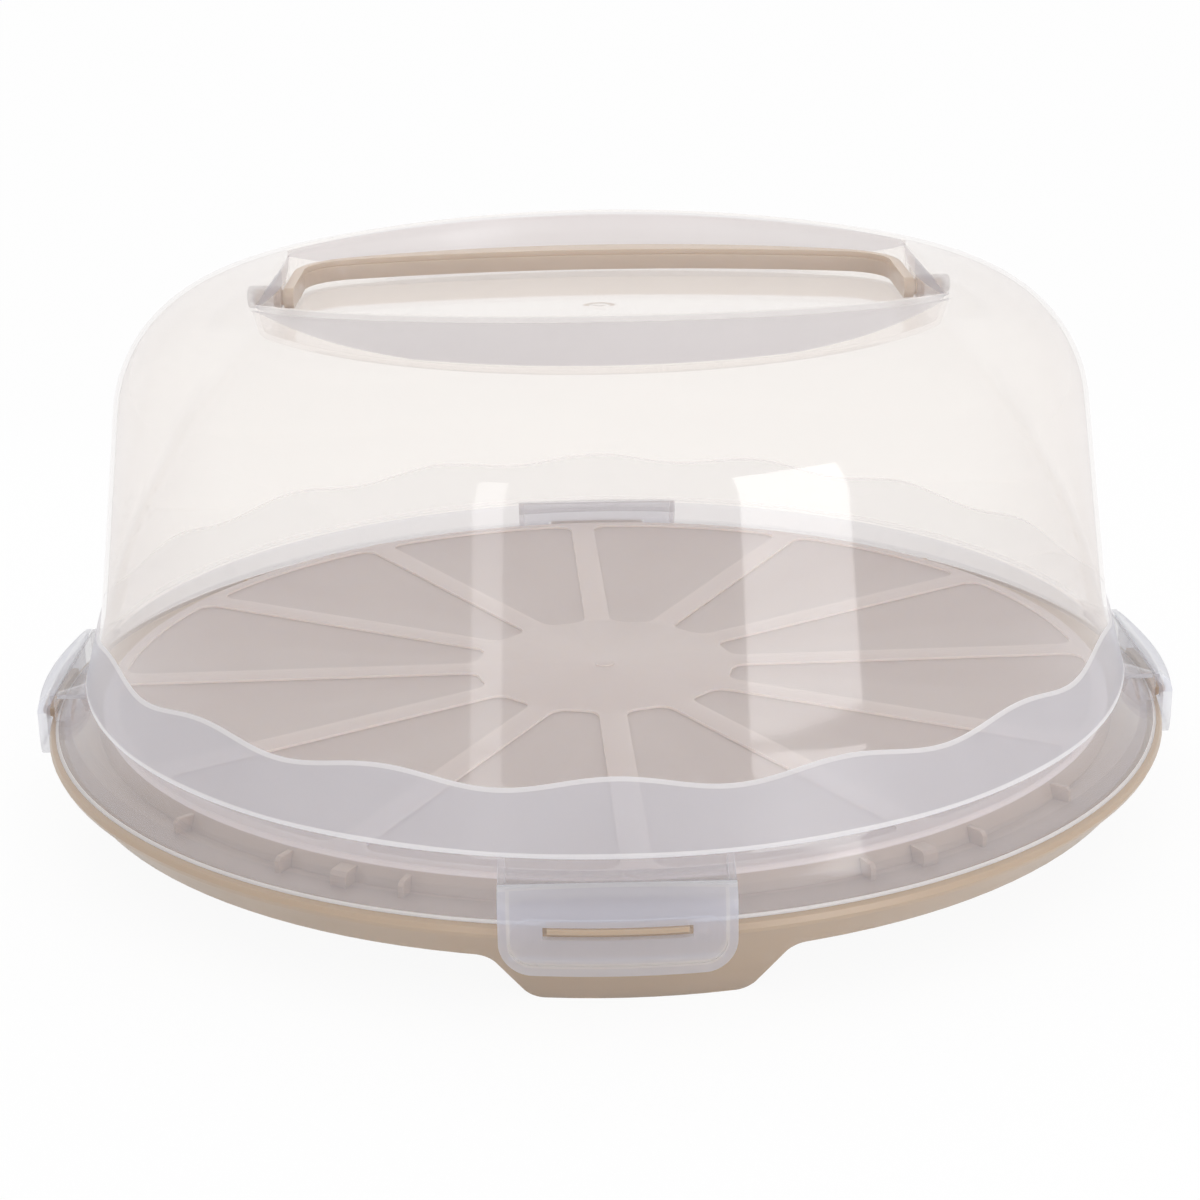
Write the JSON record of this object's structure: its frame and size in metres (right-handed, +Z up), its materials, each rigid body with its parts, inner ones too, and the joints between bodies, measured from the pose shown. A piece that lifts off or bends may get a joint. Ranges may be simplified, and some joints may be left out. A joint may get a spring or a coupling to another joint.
{
  "type": "cake carrier",
  "caption": "Round cake carrier: clear domed lid with a frosted wavy band, clip latches and a fold-down bail handle, on a footed tray.",
  "frame": {"origin": "centre of the carrier's footprint on the floor, level with the undersides of the feet", "axes": "+Z up along the dome's axis, -Y towards the front latch, +X towards the right latch"},
  "size_m": [0.3396, 0.3396, 0.1584],
  "materials": {
    "tray_plastic": "satin beige polypropylene",
    "clear_plastic": "clear moulded plastic, frosted along the wavy band",
    "frosted_plastic": "frosted translucent plastic",
    "handle_plastic": "satin beige polypropylene"
  },
  "bodies": {
    "base": {"base_tray": "tray_plastic"},
    "lid": {"dome_lid": "clear_plastic"},
    "front_latch": {"latch_front": "frosted_plastic"},
    "right_latch": {"latch_right": "frosted_plastic"},
    "back_latch": {"latch_back": "frosted_plastic"},
    "left_latch": {"latch_left": "frosted_plastic"},
    "handle": {"carry_handle": "handle_plastic"}
  },
  "joints": [
    {"name": "lid_lift", "type": "slide", "parent": "base", "child": "lid", "axis": [0, 0, 1], "range_m": [0, 0.2]},
    {"name": "front_latch_hinge", "type": "hinge", "parent": "lid", "child": "front_latch", "pos_m": [0, -0.1623, 0.03685], "axis": [-1, 0, 0], "range_deg": [0, 110]},
    {"name": "right_latch_hinge", "type": "hinge", "parent": "lid", "child": "right_latch", "pos_m": [0.1623, 0, 0.03685], "axis": [0, -1, 0], "range_deg": [0, 110]},
    {"name": "back_latch_hinge", "type": "hinge", "parent": "lid", "child": "back_latch", "pos_m": [0, 0.1623, 0.03685], "axis": [1, 0, 0], "range_deg": [0, 110]},
    {"name": "left_latch_hinge", "type": "hinge", "parent": "lid", "child": "left_latch", "pos_m": [-0.1623, 0, 0.03685], "axis": [0, 1, 0], "range_deg": [0, 110]},
    {"name": "handle_pivot", "type": "hinge", "parent": "lid", "child": "handle", "pos_m": [0, 0, 0.1477], "axis": [1, 0, 0], "range_deg": [0, 180]}
  ]
}
